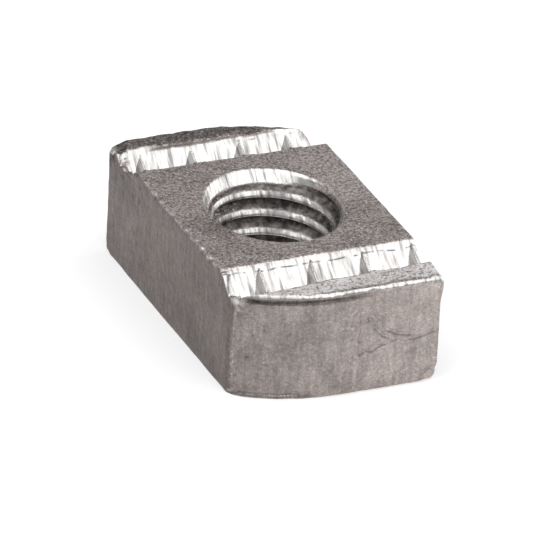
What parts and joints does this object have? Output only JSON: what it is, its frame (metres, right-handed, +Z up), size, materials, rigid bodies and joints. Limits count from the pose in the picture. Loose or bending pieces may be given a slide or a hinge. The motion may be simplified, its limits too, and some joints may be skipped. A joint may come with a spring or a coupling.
{
  "type": "channel nut",
  "caption": "Thick steel channel nut with a threaded hole and a toothed groove across each end to bite on the lips of a framing channel.",
  "frame": {"origin": "middle of the bottom face, on the axis of the thread", "axes": "+Z up through the thread to the clamping face, +X along the toothed grooves, +Y along the nut to its rear end"},
  "size_m": [0.0194, 0.0344, 0.0114],
  "materials": {
    "steel": "dull forged steel with pressed, bright grooves"
  },
  "bodies": {
    "root": {"channel_nut": "steel"}
  },
  "joints": []
}
